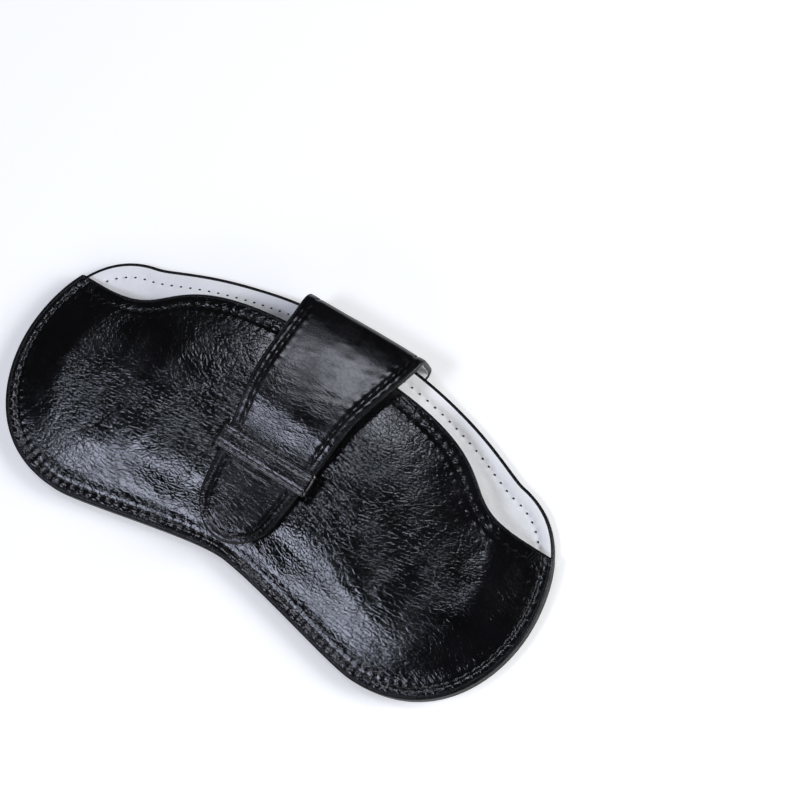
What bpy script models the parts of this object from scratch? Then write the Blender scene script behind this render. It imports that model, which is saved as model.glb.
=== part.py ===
"""A soft pouch glasses case of leather with a white lining.

Two lens-shaped panels are sewn together round their lower edge and left open along
the top. A tapering strap is sewn to the back, folds over the mouth and tucks under a
keeper loop on the front. X runs along the case, +Y towards the mouth and +Z up, away
from the table. Sizes below are in millimetres, and y counts from the widest line of
the case until CASE_CENTRE moves the whole model over its origin.
"""

import math

import bmesh
import bpy
import numpy as np
from mathutils import Vector
from mathutils.bvhtree import BVHTree

MM = 0.001

# Outline of the case, right half, as Bezier anchors and handles
HALF_LENGTH = 90.0
TOP_APEX = 47.9
LOBE_LOW = -37.0
WAIST = -27.7
TOP_EDGE = [(0, TOP_APEX), (41, TOP_APEX), (60, 35.4), (66.6, 34.2),
            (89.1, 30.3), (HALF_LENGTH, 4.4), (HALF_LENGTH, 0)]
LOWER_EDGE = [(0, WAIST), (12.5, WAIST), (46.5, LOBE_LOW), (54.5, LOBE_LOW),
              (80.2, LOBE_LOW), (HALF_LENGTH, -16.4), (HALF_LENGTH, 0)]
MOUTH_EDGE = [(0, 40.0), (67, 40.0), (47, 20.8), (76, 20.8)]

# Sheets, from the table upwards
LEATHER = 0.9
LINING = 0.5
GAP = 0.3
TAIL_LIFT = 2.0            # the back panel rises this much over the strap's tail
TAIL_SHOULDER = 18.0
RIM_LIFT = 0.5             # the sewn rim curls up from the table
RIM_WIDTH = 8.0
DOME_HEIGHT = 4.2          # puff of the front panel at y = 0
DOME_SLOPE = 0.059         # and how much more it rises towards the mouth
DOME_EDGE = 18.0           # distance over which it rises from the seam

# Strap
STRAP_FOLD_FACE = 50.5     # y of the strap's outer face where it passes the mouth
STRAP_THICK = LEATHER + GAP + LINING
STRAP_AIR = 0.4            # between strap and front panel
FOLD_HALF_WIDTH = 20.5
STRAP_HALF_WIDTH = 14.3    # at y = 0
STRAP_TAPER = 0.132        # half-width gained per millimetre towards the fold
TIP_END = -24.2
TIP_START = -12.0
TAIL_END = -8.0
TAIL_ROUND = 9.0
TAIL_TAPER = 0.06
HEEL_RADIUS = STRAP_THICK + 0.9
BEND_RADIUS = STRAP_THICK + 1.5
CUT = 0.3                  # gap between two strap segments that bend on each other
SHOULDER_END = 45.75
TONGUE_ROOT = 6.15

# Keeper loop
KEEPER_LOW, KEEPER_HIGH = -1.5, 5.5
KEEPER_HALF = 15.5
KEEPER_THICK = 1.0
KEEPER_AIR = 0.4
KEEPER_ROUND = 0.9
SLIT_ROOM = 0.3
SLIT_CUT_BELOW = 0.4       # the slits are cut this far past the leather
KEEPER_FOOT = 0.1          # the keeper's ends stop this far inside the leather

# Thread
PITCH = 3.0
THREAD_HALF = 0.28
THREAD_HIGH = 0.2
THREAD_GAP = 0.08
DRAPED_GAP = 0.15          # on the curved panels, whose flat facets meet under the thread
BEND_LIFT = 0.16
END_MARGIN = 0.7
SEAM_INSET = 3.0
MOUTH_INSET = 3.5
BACK_INSET = 4.0
KEEPER_INSET = 1.3
MOUTH_REACH = 78.0
BACK_REACH = 76.0
BACK_SEAM_SHOWS = 1.5      # the back's seam is left out nearer than this to the mouth's edge
TACK_AT = 83.0
TACK_STEP = 0.9
TACK_POINTS = 5
TACK_FAR, TACK_NEAR = 3.6, 0.7
EDGE_POINTS = 121
INSET_SHARE = 0.97         # an inset point nearer the edge than this share is dropped
RAY_HEIGHT = 100.0

HALF_COLUMNS = 20
FRONT_ROWS = (0, 0.05, 0.12, 0.22, 0.35, 0.55, 0.78, 1)
BACK_ROWS = (0, 0.08, 0.22, 0.4, 0.6, 0.8, 0.92, 1)

CASE_CENTRE = (STRAP_FOLD_FACE + LOBE_LOW) / 2

LOOKS = {
    "leather": ((0.012, 0.012, 0.014), 0.32),
    "strap_leather": ((0.014, 0.014, 0.016), 0.36),
    "lining": ((0.86, 0.86, 0.88), 0.45),
    "thread": ((0.02, 0.02, 0.02), 0.55),
}


# ---------------------------------------------------------------- outline and heights

def bezier_chain(anchors, count=40):
    """Points along joined cubic curves: anchor, handle, handle, anchor, ..."""
    points = [np.array(anchors[0], float)]
    for first in range(0, len(anchors) - 1, 3):
        p0, p1, p2, p3 = (np.array(p, float) for p in anchors[first:first + 4])
        for t in np.linspace(0, 1, count)[1:]:
            s = 1 - t
            points.append(s ** 3 * p0 + 3 * s * s * t * p1 + 3 * s * t * t * p2 + t ** 3 * p3)
    return np.array(points)


TOP_CURVE = bezier_chain(TOP_EDGE)
LOWER_CURVE = bezier_chain(LOWER_EDGE)
MOUTH_CURVE = bezier_chain(MOUTH_EDGE)


def top_y(x):
    return float(np.interp(abs(x), TOP_CURVE[:, 0], TOP_CURVE[:, 1]))


def lower_y(x):
    return float(np.interp(abs(x), LOWER_CURVE[:, 0], LOWER_CURVE[:, 1]))


def mouth_y(x):
    return min(float(np.interp(abs(x), MOUTH_CURVE[:, 0], MOUTH_CURVE[:, 1])), top_y(x))


def both_sides(curve):
    """A right-half curve with its mirror image, from left to right."""
    return np.vstack([curve[:0:-1] * (-1, 1), curve])


MOUTH_CORNER = MOUTH_EDGE[-1][1]
SEWN_HALF = np.vstack([LOWER_CURVE, [p for p in TOP_CURVE[::-1] if p[1] < MOUTH_CORNER]])
SEWN_EDGE = np.vstack([SEWN_HALF[:0:-1] * (-1, 1), SEWN_HALF])
WHOLE_EDGE = np.vstack([both_sides(LOWER_CURVE), both_sides(TOP_CURVE)[::-1]])


def distance_to(edge, x, y):
    start, end = edge[:-1], edge[1:]
    along = end - start
    length = np.maximum((along ** 2).sum(axis=1), 1e-9)
    share = np.clip(((np.array((x, y)) - start) * along).sum(axis=1) / length, 0, 1)
    nearest = start + along * share[:, None]
    return float(np.hypot(nearest[:, 0] - x, nearest[:, 1] - y).min())


def smooth(value):
    value = min(max(value, 0.0), 1.0)
    return value * value * (3 - 2 * value)


def underside(x, y):
    """Height of the back panel's lower face: flat, but over the strap's tail and at the rim."""
    beside = max(abs(x) - FOLD_HALF_WIDTH, 0)
    below = max(TAIL_END - y, 0)
    over_tail = 1 - smooth(math.hypot(beside, below) / TAIL_SHOULDER)
    at_rim = 1 - smooth(distance_to(WHOLE_EDGE, x, y) / RIM_WIDTH)
    return TAIL_LIFT * over_tail + RIM_LIFT * at_rim * (1 - over_tail)


def dome(x, y):
    return (DOME_HEIGHT + DOME_SLOPE * y) * smooth(distance_to(SEWN_EDGE, x, y) / DOME_EDGE)


BACK_LINING_AT = LEATHER + GAP
FRONT_LINING_AT = BACK_LINING_AT + LINING + GAP
FRONT_LEATHER_AT = FRONT_LINING_AT + LINING + GAP
FRONT_TOP_AT = FRONT_LEATHER_AT + LEATHER


# ---------------------------------------------------------------- making objects

def clear_scene():
    for old in list(bpy.data.objects):
        bpy.data.objects.remove(old, do_unlink=True)


def material(name):
    found = bpy.data.materials.get(name)
    if found:
        return found
    made = bpy.data.materials.new(name)
    made.use_nodes = True
    colour, roughness = LOOKS[name]
    shader = made.node_tree.nodes["Principled BSDF"]
    shader.inputs["Base Color"].default_value = (*colour, 1)
    shader.inputs["Roughness"].default_value = roughness
    shader.inputs["Metallic"].default_value = 0
    return made


def joint_frame(name, y, z):
    """An empty on a hinge line, in case coordinates."""
    empty = bpy.data.objects.new(name, None)
    bpy.context.scene.collection.objects.link(empty)
    empty.location = (0, (y - CASE_CENTRE) * MM, z * MM)
    return empty


def add_object(name, look, points, faces, parent=None):
    """An object from points in case coordinates, in millimetres."""
    origin = Vector(parent.location) if parent else Vector()
    mesh = bpy.data.meshes.new(name)
    placed = [Vector((x * MM, (y - CASE_CENTRE) * MM, z * MM)) - origin for x, y, z in points]
    mesh.from_pydata(placed, [], faces)
    model = bmesh.new()
    model.from_mesh(mesh)
    bmesh.ops.recalc_face_normals(model, faces=model.faces)
    model.to_mesh(mesh)
    model.free()
    mesh.materials.append(material(look))
    made = bpy.data.objects.new(name, mesh)
    bpy.context.scene.collection.objects.link(made)
    made.parent = parent
    return made


def cut_with(piece, cutter):
    """Cuts the cutter's shape out of the piece and keeps the cutter out of the model."""
    cutter.hide_render = True
    cutter.display_type = "WIRE"
    cut = piece.modifiers.new(cutter.name, "BOOLEAN")
    cut.operation = "DIFFERENCE"
    cut.object = cutter


# ---------------------------------------------------------------- panels

COLUMNS = [HALF_LENGTH * math.sin(math.pi / 2 * k / HALF_COLUMNS)
           for k in range(-HALF_COLUMNS, HALF_COLUMNS + 1)]


def sheet(name, look, upper_edge, rows, lower_face, thickness):
    """A panel of even thickness between the case's lower edge and upper_edge."""
    points, columns, faces = [], [], []
    for x in COLUMNS:
        low, high = lower_y(x), upper_edge(x)
        shares = rows if high - low > 0.01 else (0,)
        column = []
        for share in shares:
            y = low + (high - low) * share
            z = lower_face(x, y)
            column.append((len(points), len(points) + 1))
            points += [(x, y, z), (x, y, z + thickness)]
        columns.append(column)
    for left, right in zip(columns, columns[1:]):
        for row in range(len(rows) - 1):
            ring = [left[min(row, len(left) - 1)], right[min(row, len(right) - 1)],
                    right[min(row + 1, len(right) - 1)], left[min(row + 1, len(left) - 1)]]
            for triangle in ((ring[0], ring[1], ring[2]), (ring[0], ring[2], ring[3])):
                if len(set(triangle)) == 3:
                    faces += [[p[0] for p in reversed(triangle)], [p[1] for p in triangle]]
        for row in (0, -1):
            a, b = left[row], right[row]
            faces.append([a[0], b[0], b[1], a[1]] if row == 0 else [b[0], a[0], a[1], b[1]])
    return add_object(name, look, points, faces)


def above_back(height):
    return lambda x, y: underside(x, y) + height


def above_front(height):
    return lambda x, y: underside(x, y) + dome(x, y) + height


def cut_slits(leather):
    """Two slits in the front panel that the keeper's ends pass through."""
    for side in (-1, 1):
        near, far = KEEPER_HALF - SLIT_ROOM, KEEPER_HALF + KEEPER_THICK + SLIT_ROOM
        corners = []
        for y in (KEEPER_LOW - SLIT_ROOM, KEEPER_HIGH + SLIT_ROOM):
            for h in (-STRAP_AIR - LEATHER - SLIT_CUT_BELOW, 0):
                point = strap_point(front_station(y), h)
                corners += [(side * near, *point), (side * far, *point)]
        faces = [(0, 1, 3, 2), (4, 6, 7, 5), (0, 4, 5, 1), (2, 3, 7, 6), (0, 2, 6, 4), (1, 5, 7, 3)]
        word = "left" if side < 0 else "right"
        cut_with(leather, add_object(f"slit_cutter_{word}", "leather", corners, faces))


def make_panels():
    back = sheet("back_leather", "leather", top_y, BACK_ROWS, above_back(0), LEATHER)
    lining = sheet("back_lining", "lining", top_y, BACK_ROWS, above_back(BACK_LINING_AT), LINING)
    sheet("front_lining", "lining", mouth_y, FRONT_ROWS, above_front(FRONT_LINING_AT), LINING)
    front = sheet("front_leather", "leather", mouth_y, FRONT_ROWS,
                  above_front(FRONT_LEATHER_AT), LEATHER)
    return back, lining, front


# ---------------------------------------------------------------- strap

# A station is (y, z, normal_y, normal_z, half_width): a point on the strap's lining
# face, the direction from it to the leather, and half the strap's width there.

STRAP_PLANE_AT = TAIL_LIFT + FRONT_TOP_AT + DOME_HEIGHT + STRAP_AIR
SLOPE = math.atan(DOME_SLOPE)
FRONT_NORMAL = (-math.sin(SLOPE), math.cos(SLOPE))


def strap_point(station, height):
    y, z, normal_y, normal_z, _ = station
    return y + normal_y * height, z + normal_z * height


def strap_half_width(y):
    return min(STRAP_HALF_WIDTH + STRAP_TAPER * y, FOLD_HALF_WIDTH)


def front_station(y):
    half = strap_half_width(y)
    if y < TIP_START:
        share = (TIP_START - y) / (TIP_START - TIP_END)
        half *= math.sqrt(max(1 - share * share, 0))
    return (y, STRAP_PLANE_AT + DOME_SLOPE * y, *FRONT_NORMAL, half)


def tail_station(y):
    half = FOLD_HALF_WIDTH - TAIL_TAPER * (TOP_APEX - y)
    if y < TAIL_END + TAIL_ROUND:
        share = 1 - (y - TAIL_END) / TAIL_ROUND
        half *= math.sqrt(max(1 - share ** 4, 0))
    return (y, STRAP_THICK, 0.0, -1.0, half)


def arc_stations(centre_y, centre_z, radius, start, end, count):
    """Stations round a bend, radius being that of the lining face, angles from +Y."""
    return [(centre_y + radius * math.cos(a), centre_z + radius * math.sin(a),
             math.cos(a), math.sin(a), FOLD_HALF_WIDTH)
            for a in np.linspace(start, end, count)]


HEEL_Y = STRAP_FOLD_FACE - HEEL_RADIUS
BEND_Y = STRAP_FOLD_FACE - BEND_RADIUS
BEND_Z = (STRAP_PLANE_AT + DOME_SLOPE * BEND_Y
          + (STRAP_THICK - BEND_RADIUS) / math.cos(SLOPE))
RISER_FACE = STRAP_FOLD_FACE - STRAP_THICK
ARCH_MIDDLE = (SHOULDER_END + TONGUE_ROOT) / 2


def rounded_steps(flat_from, end, count):
    """Steps from a straight stretch into a round end, closer together at the end."""
    return [flat_from + (end - flat_from) * math.sin(math.pi / 2 * k / count)
            for k in range(count + 1)]


def strap_segments():
    """Each strap segment's stations, in order from the sewn tail to the tip."""
    tail = [tail_station(y) for y in reversed(rounded_steps(TAIL_END + TAIL_ROUND, TAIL_END, 6))]
    heel = arc_stations(HEEL_Y, HEEL_RADIUS, HEEL_RADIUS - STRAP_THICK, -math.pi / 2, 0, 5)
    riser = [(RISER_FACE, z, 1.0, 0.0, FOLD_HALF_WIDTH)
             for z in (HEEL_RADIUS + CUT, BEND_Z - CUT)]
    bend = arc_stations(BEND_Y, BEND_Z, BEND_RADIUS - STRAP_THICK, 0, math.pi / 2 + SLOPE, 6)
    half_cut = CUT / 2
    tip = rounded_steps(TIP_START, TIP_END, 8)
    return {
        "tail": tail + heel,
        "riser": riser,
        "shoulder": bend + [front_station(SHOULDER_END + half_cut)],
        "upper": [front_station(y) for y in (SHOULDER_END - half_cut, ARCH_MIDDLE + half_cut)],
        "lower": [front_station(y) for y in (ARCH_MIDDLE - half_cut, TONGUE_ROOT + half_cut)],
        "tongue": [front_station(y) for y in [TONGUE_ROOT - half_cut] + tip],
    }


def band(name, look, stations, near, far, parent):
    """A solid strip along the stations, from height near to height far."""
    points, rings, faces = [], [], []
    for station in stations:
        half = station[4]
        sides = (-half, half) if half > 0.01 else (0.0,)
        ring = []
        for height in (near, far):
            for x in sides:
                ring.append(len(points))
                points.append((x, *strap_point(station, height)))
        rings.append(ring if len(sides) == 2 else [ring[0], ring[0], ring[1], ring[1]])
    order = (0, 1, 3, 2)
    for first, second in zip(rings, rings[1:]):
        for a, b in zip(order, order[1:] + order[:1]):
            face = [first[a], first[b], second[b], second[a]]
            face = [p for k, p in enumerate(face) if p != face[k - 1]]
            if len(face) > 2:
                faces.append(face)
    for ring in (rings[0], rings[-1]):
        cap = [ring[k] for k in order]
        if len(set(cap)) == 4:
            faces.append(cap)
    return add_object(name, look, points, faces, parent)


def strap_run(stations, side):
    """Thread line along one side of a strap segment, on its leather face."""
    run = []
    for station in stations:
        place = (side * (station[4] - SEAM_INSET), *strap_point(station, STRAP_THICK))
        run.append((*place, 0.0, station[2], station[3]))
    return trimmed(run, END_MARGIN, END_MARGIN)


def tongue_run(stations):
    """Thread line down one side of the tongue, round its tip and back up the other."""
    straight = [s for s in stations if s[0] >= TIP_START]
    left = strap_run(straight, -1)
    right = strap_run(straight, 1)
    across = strap_half_width(TIP_START) - SEAM_INSET
    reach = TIP_START - TIP_END - SEAM_INSET
    tip = []
    for angle in np.linspace(-math.pi / 2, math.pi / 2, 21)[1:-1]:
        place = strap_point(front_station(TIP_START - reach * math.cos(angle)), STRAP_THICK)
        tip.append((across * math.sin(angle), *place, 0.0, *FRONT_NORMAL))
    return left + tip + right[::-1]


# ---------------------------------------------------------------- thread

# A run is a list of (x, y, z, out_x, out_y, out_z): places along a seam, and the
# direction in which the thread stands out there.

def spaced(run, step):
    """The run again, with even steps of about the given length."""
    run = np.array(run, float)
    at = np.concatenate([[0], np.cumsum(np.linalg.norm(np.diff(run[:, :3], axis=0), axis=1))])
    count = max(round(at[-1] / step), 2)
    return [tuple(np.interp(place, at, run[:, n]) for n in range(run.shape[1]))
            for place in np.linspace(0, at[-1], count + 1)]


def trimmed(run, from_start, from_end):
    run = np.array(run, float)
    at = np.concatenate([[0], np.cumsum(np.linalg.norm(np.diff(run[:, :3], axis=0), axis=1))])
    inside = [p for p in at if from_start < p < at[-1] - from_end]
    places = [from_start, *inside, at[-1] - from_end]
    return [tuple(np.interp(place, at, run[:, n]) for n in range(run.shape[1])) for place in places]


def thread(name, run, lift=THREAD_GAP, parent=None, closed=False):
    """One sewn line: three-sided, thick at each stitch and thin where it dips between."""
    run = spaced(run, PITCH / 2)
    if closed:
        run = run[:-1]
    points, faces = [], []
    count = len(run)
    for k, values in enumerate(run):
        place, out = Vector(values[:3]), Vector(values[3:]).normalized()
        before = Vector(run[k - 1 if closed else max(k - 1, 0)][:3])
        after = Vector(run[(k + 1) % count if closed else min(k + 1, count - 1)][:3])
        across = (after - before).cross(out).normalized()
        full = k % 2 == 1
        across *= THREAD_HALF if full else THREAD_HALF / 2
        foot = place + out * lift
        points += [foot - across, foot + across,
                   foot + out * (THREAD_HIGH if full else THREAD_HIGH / 3)]
    pairs = count if closed else count - 1
    for k in range(pairs):
        here, there = 3 * k, 3 * ((k + 1) % count)
        faces += [[here + a, here + b, there + b, there + a] for a, b in ((0, 1), (1, 2), (2, 0))]
    if not closed:
        faces += [[0, 2, 1], [3 * count - 3, 3 * count - 2, 3 * count - 1]]
    return add_object(name, "thread", points, faces, parent)


def inset_run(edge, inset):
    """An edge's points moved inwards, towards the case's middle."""
    run = []
    for before, point, after in zip(edge, edge[1:], edge[2:]):
        along = after - before
        size = np.hypot(*along)
        if size > 1e-6:
            run.append(point + np.array((-along[1], along[0])) / size * inset)
    return [p for p in run if distance_to(WHOLE_EDGE, *p) > INSET_SHARE * inset]


def draped(run, surface, from_above):
    """A run laid on a panel: each place stands on the mesh under or over it."""
    tree = BVHTree.FromObject(surface, bpy.context.evaluated_depsgraph_get())
    out = 1 if from_above else -1
    laid = []
    for x, y, _ in spaced([(x, y, 0) for x, y in run], PITCH / 2):
        source = Vector((x * MM, (y - CASE_CENTRE) * MM, out * RAY_HEIGHT * MM))
        hit = tree.ray_cast(source, Vector((0, 0, -out)))[0]
        if hit:
            laid.append((x, y, hit.z / MM, 0, 0, out))
    return laid


def edge_run(curve_y, reach, inset):
    edge = np.array([(x, curve_y(x)) for x in np.linspace(reach, -reach, EDGE_POINTS)])
    return inset_run(edge, inset)


def corner_tack(front, side):
    """A short zigzag of thread across the seam at one end of the mouth."""
    run = []
    for k in range(TACK_POINTS):
        reach = (TACK_FAR, TACK_NEAR)[k % 2]
        run.append((side * (TACK_AT - TACK_STEP * k), MOUTH_CORNER - reach))
    return draped(run, front, True)


# ---------------------------------------------------------------- keeper

def make_keeper():
    """A flat loop over the strap: its ends turn down into the front panel's slits."""
    inner_h = STRAP_THICK + KEEPER_AIR
    outer_h = inner_h + KEEPER_THICK
    foot_h = -STRAP_AIR - LEATHER + KEEPER_FOOT
    outer = KEEPER_HALF + KEEPER_THICK
    shoulder = [(outer - KEEPER_ROUND * (1 - math.cos(a)), outer_h - KEEPER_ROUND * (1 - math.sin(a)))
                for a in np.linspace(0, math.pi / 2, 4)]
    half = [(KEEPER_HALF, foot_h), (outer, foot_h)] + shoulder
    inside = [(KEEPER_HALF, inner_h)]
    profile = half + [(-x, h) for x, h in reversed(half)] + [(-x, h) for x, h in inside] + inside
    points = []
    for y in (KEEPER_LOW, KEEPER_HIGH):
        points += [(x, *strap_point(front_station(y), h)) for x, h in profile]
    count = len(profile)
    faces = [list(range(count)), list(range(2 * count - 1, count - 1, -1))]
    faces += [[k, count + k, count + (k + 1) % count, (k + 1) % count] for k in range(count)]
    add_object("keeper_band", "strap_leather", points, faces)
    for word, y in (("lower", KEEPER_LOW + KEEPER_INSET), ("upper", KEEPER_HIGH - KEEPER_INSET)):
        y_at, z_at = strap_point(front_station(y), outer_h)
        reach = KEEPER_HALF - END_MARGIN
        run = [(x, y_at, z_at, 0.0, *FRONT_NORMAL) for x in (-reach, reach)]
        thread(f"keeper_stitches_{word}", run)


# ---------------------------------------------------------------- the strap's tail

TAIL_BOX_LOW, TAIL_BOX_HIGH = -2.0, 30.0
TAIL_BOX_HALF = 12.5
GROOVE_HALF = 0.6
GROOVE_DEEP = 0.4
GROOVE_CUT_BELOW = 1.0


def box_corners(grow, z):
    low, high, half = TAIL_BOX_LOW - grow, TAIL_BOX_HIGH + grow, TAIL_BOX_HALF + grow
    return [(-half, low, z), (half, low, z), (half, high, z), (-half, high, z)]


def groove_tail(leather):
    """A sunken rectangular groove that the tail's stitches lie in."""
    points = []
    for z in (-GROOVE_CUT_BELOW, GROOVE_DEEP):
        points += box_corners(GROOVE_HALF, z) + box_corners(-GROOVE_HALF, z)
    faces = []
    for k in range(4):
        n = (k + 1) % 4
        faces += [[k, n, 4 + n, 4 + k], [8 + k, 12 + k, 12 + n, 8 + n],
                  [k, 8 + k, 8 + n, n], [4 + k, 4 + n, 12 + n, 12 + k]]
    cut_with(leather, add_object("groove_cutter", "leather", points, faces))


def tail_stitches():
    corners = box_corners(0, GROOVE_DEEP)
    run = [(*corner, 0, 0, -1) for corner in corners + corners[:1]]
    thread("strap_tail_stitches", run, closed=True)


# ---------------------------------------------------------------- assembly

def make_strap():
    segments = strap_segments()
    hinges = {
        "tail": None,
        "riser": joint_frame("riser_hinge", STRAP_FOLD_FACE, HEEL_RADIUS + CUT / 2),
        "shoulder": joint_frame("swing_hinge", STRAP_FOLD_FACE, BEND_Z - CUT / 2),
        "upper": joint_frame("arch_root", *strap_point(front_station(SHOULDER_END), STRAP_THICK)),
        "lower": joint_frame("arch_knee", *strap_point(front_station(ARCH_MIDDLE), 0)),
        "tongue": joint_frame("arch_foot", *strap_point(front_station(TONGUE_ROOT), STRAP_THICK)),
    }
    for segment, stations in segments.items():
        parent = hinges[segment]
        leather = band(f"strap_{segment}_leather", "strap_leather", stations,
                       LINING + GAP, STRAP_THICK, parent)
        band(f"strap_{segment}_lining", "lining", stations, 0, LINING, parent)
        if segment == "tail":
            groove_tail(leather)
            tail_stitches()
        elif segment == "tongue":
            thread("strap_tongue_stitches", tongue_run(stations), parent=parent)
        else:
            lift = BEND_LIFT if segment == "shoulder" else THREAD_GAP
            for word, side in (("left", -1), ("right", 1)):
                thread(f"strap_{segment}_stitches_{word}", strap_run(stations, side), lift, parent)


def main():
    clear_scene()
    back, lining, front = make_panels()
    seam = inset_run(SEWN_EDGE, SEAM_INSET)
    mouth = edge_run(mouth_y, MOUTH_REACH, MOUTH_INSET)
    upper = [p for p in edge_run(top_y, BACK_REACH, BACK_INSET) if p[1] > mouth_y(p[0]) + BACK_SEAM_SHOWS]
    bpy.context.view_layer.update()
    thread("seam_stitches_front", draped(seam, front, True), DRAPED_GAP)
    thread("seam_stitches_back", draped(seam, back, False), DRAPED_GAP)
    thread("mouth_stitches", draped(mouth, front, True), DRAPED_GAP)
    thread("back_edge_stitches", draped(upper, lining, True), DRAPED_GAP)
    for word, side in (("left", -1), ("right", 1)):
        thread(f"corner_tack_{word}", corner_tack(front, side), DRAPED_GAP)
    cut_slits(front)
    make_keeper()
    make_strap()


main()
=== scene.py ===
"""The looks of the soft pouch glasses case: panels, seams, edge paint, strap and keeper.

Sizes are in millimetres in the case's own coordinates, as in the CAD source: X runs along
the case, y counts from its widest line towards the mouth, and z from the table. place()
turns them into the frame's metres.
"""

import math

import bpy
import numpy as np
from mathutils import Matrix, Vector


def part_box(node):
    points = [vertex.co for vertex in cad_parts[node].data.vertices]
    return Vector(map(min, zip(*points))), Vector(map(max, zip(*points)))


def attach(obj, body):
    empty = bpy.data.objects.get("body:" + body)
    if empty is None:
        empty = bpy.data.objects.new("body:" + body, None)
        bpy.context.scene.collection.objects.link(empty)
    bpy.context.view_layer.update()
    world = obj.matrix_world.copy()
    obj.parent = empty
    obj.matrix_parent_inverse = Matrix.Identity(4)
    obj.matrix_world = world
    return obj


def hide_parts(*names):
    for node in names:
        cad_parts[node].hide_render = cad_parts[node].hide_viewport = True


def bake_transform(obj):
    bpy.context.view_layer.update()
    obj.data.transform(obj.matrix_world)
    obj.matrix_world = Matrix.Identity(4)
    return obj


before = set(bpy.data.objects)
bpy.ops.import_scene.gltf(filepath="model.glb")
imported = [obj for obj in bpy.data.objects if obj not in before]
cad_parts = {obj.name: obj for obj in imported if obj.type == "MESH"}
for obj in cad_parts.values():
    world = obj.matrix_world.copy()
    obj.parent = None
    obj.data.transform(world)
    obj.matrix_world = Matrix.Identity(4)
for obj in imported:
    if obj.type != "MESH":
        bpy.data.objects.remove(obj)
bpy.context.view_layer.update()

MM = 0.001

# Outline, right half, as Bezier anchors and handles
HALF_LENGTH = 90.0
TOP_APEX = 47.9
LOBE_LOW = -37.0
WAIST = -27.7
TOP_EDGE = [(0, TOP_APEX), (41, TOP_APEX), (60, 35.4), (66.6, 34.2),
            (89.1, 30.3), (HALF_LENGTH, 4.4), (HALF_LENGTH, 0)]
LOWER_EDGE = [(0, WAIST), (12.5, WAIST), (46.5, LOBE_LOW), (54.5, LOBE_LOW),
              (80.2, LOBE_LOW), (HALF_LENGTH, -16.4), (HALF_LENGTH, 0)]
MOUTH_EDGE = [(0, 40.0), (67, 40.0), (47, 20.8), (76, 20.8)]

# Layers, from the table upwards
LEATHER, LINING, GAP = 0.9, 0.5, 0.3
BACK_LINING_AT = LEATHER + GAP
FRONT_LINING_AT = BACK_LINING_AT + LINING + GAP
FRONT_LEATHER_AT = FRONT_LINING_AT + LINING + GAP
FRONT_TOP_AT = FRONT_LEATHER_AT + LEATHER
BACK_TOP_AT = BACK_LINING_AT + LINING
TAIL_LIFT, TAIL_SHOULDER = 2.0, 18.0
RIM_LIFT, RIM_WIDTH = 0.5, 8.0
DOME_HEIGHT, DOME_SLOPE, DOME_EDGE = 4.2, 0.059, 18.0

# Strap
FOLD_FACE = 50.5
STRAP_THICK = LEATHER + GAP + LINING
STRAP_AIR = 0.4
FOLD_HALF = 20.5
STRAP_HALF, STRAP_TAPER = 14.3, 0.132
TIP_START, TIP_END = -12.0, -24.2
TAIL_END, TAIL_ROUND, TAIL_TAPER = -8.0, 9.0, 0.06
HEEL_RADIUS = STRAP_THICK + 0.9
BEND_RADIUS = STRAP_THICK + 1.5
STRAP_PLANE_AT = TAIL_LIFT + FRONT_TOP_AT + DOME_HEIGHT + STRAP_AIR
SLOPE = math.atan(DOME_SLOPE)
SKEW, SKEW_FROM, SKEW_OVER = 3.2, 20.0, 28.0   # the fold lies a little to the right

# Keeper
KEEPER_LOW, KEEPER_HIGH = -1.5, 5.5
KEEPER_HALF = 15.5
KEEPER_THICK, KEEPER_AIR = 1.0, 0.4

# Seams
PITCH = 3.0
SEAM_INSET, MOUTH_INSET, BACK_INSET = 3.0, 3.5, 4.0
CHANNEL_WIDTH, PUCKER, FLANGE = 0.62, 0.10, 0.05

# The front panel sinks a little towards its free edge, and it bridges the tail's shoulders
DROOP, DROOP_OVER = 2.4, 22.0
BRIDGED_OVER = 60.0

# The frame puts the case's box centre over its origin
CENTRE = LOBE_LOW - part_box("back_leather")[0].y / MM


def place(x, y, z):
    return Vector((x * MM, (y - CENTRE) * MM, z * MM))


# ---------------------------------------------------------------- outline and heights

def bezier_chain(anchors, count=40):
    """Points along joined cubic curves: anchor, handle, handle, anchor, ..."""
    points = [np.array(anchors[0], float)]
    for first in range(0, len(anchors) - 1, 3):
        p0, p1, p2, p3 = (np.array(p, float) for p in anchors[first:first + 4])
        for t in np.linspace(0, 1, count)[1:]:
            s = 1 - t
            points.append(s ** 3 * p0 + 3 * s * s * t * p1 + 3 * s * t * t * p2 + t ** 3 * p3)
    return np.array(points)


def both_sides(curve):
    return np.vstack([curve[:0:-1] * (-1, 1), curve])


TOP_CURVE = bezier_chain(TOP_EDGE)
LOWER_CURVE = bezier_chain(LOWER_EDGE)
MOUTH_CURVE = bezier_chain(MOUTH_EDGE)
MOUTH_CORNER = MOUTH_EDGE[-1][1]


def top_y(x):
    return np.interp(np.abs(x), TOP_CURVE[:, 0], TOP_CURVE[:, 1])


def lower_y(x):
    return np.interp(np.abs(x), LOWER_CURVE[:, 0], LOWER_CURVE[:, 1])


def mouth_y(x):
    return np.minimum(np.interp(np.abs(x), MOUTH_CURVE[:, 0], MOUTH_CURVE[:, 1]), top_y(x))


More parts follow.
